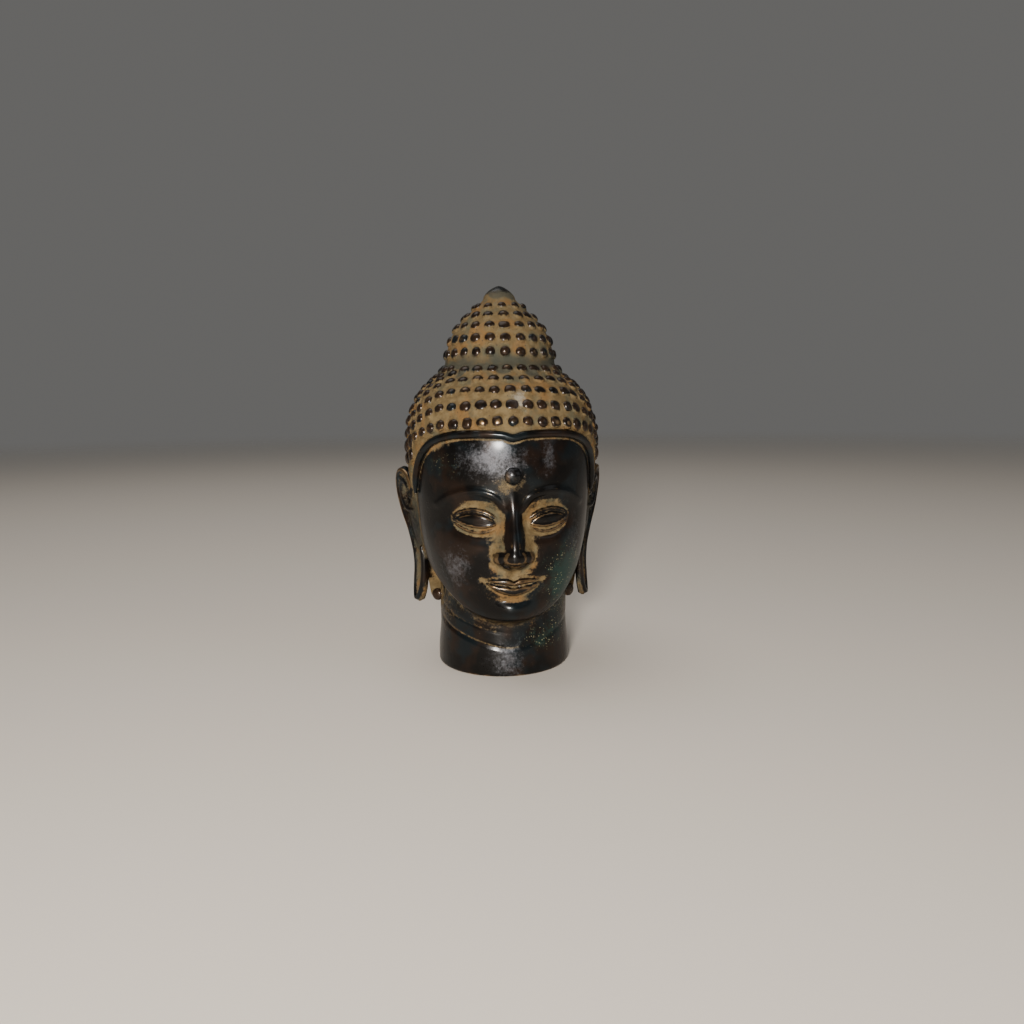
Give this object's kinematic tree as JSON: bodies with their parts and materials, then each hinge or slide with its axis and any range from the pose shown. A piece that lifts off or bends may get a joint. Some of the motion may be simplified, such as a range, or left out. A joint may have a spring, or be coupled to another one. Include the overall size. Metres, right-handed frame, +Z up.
{
  "type": "bronze buddha head",
  "caption": "Small cast bronze head with a tall studded topknot, stretched ears, a calm face and a neck cut flat as its foot.",
  "frame": {"origin": "centre of the flat foot of the neck", "axes": "+Z up along the neck to the tip of the topknot, the face looks along -Y, and +X is the head's left, on the right of a viewer in front"},
  "size_m": [0.0552, 0.0584, 0.095],
  "materials": {
    "bronze": "dark cast bronze, waxed, with tan dust in its recesses and a little green patina"
  },
  "bodies": {
    "root": {"buddha_head": "bronze"}
  },
  "joints": []
}
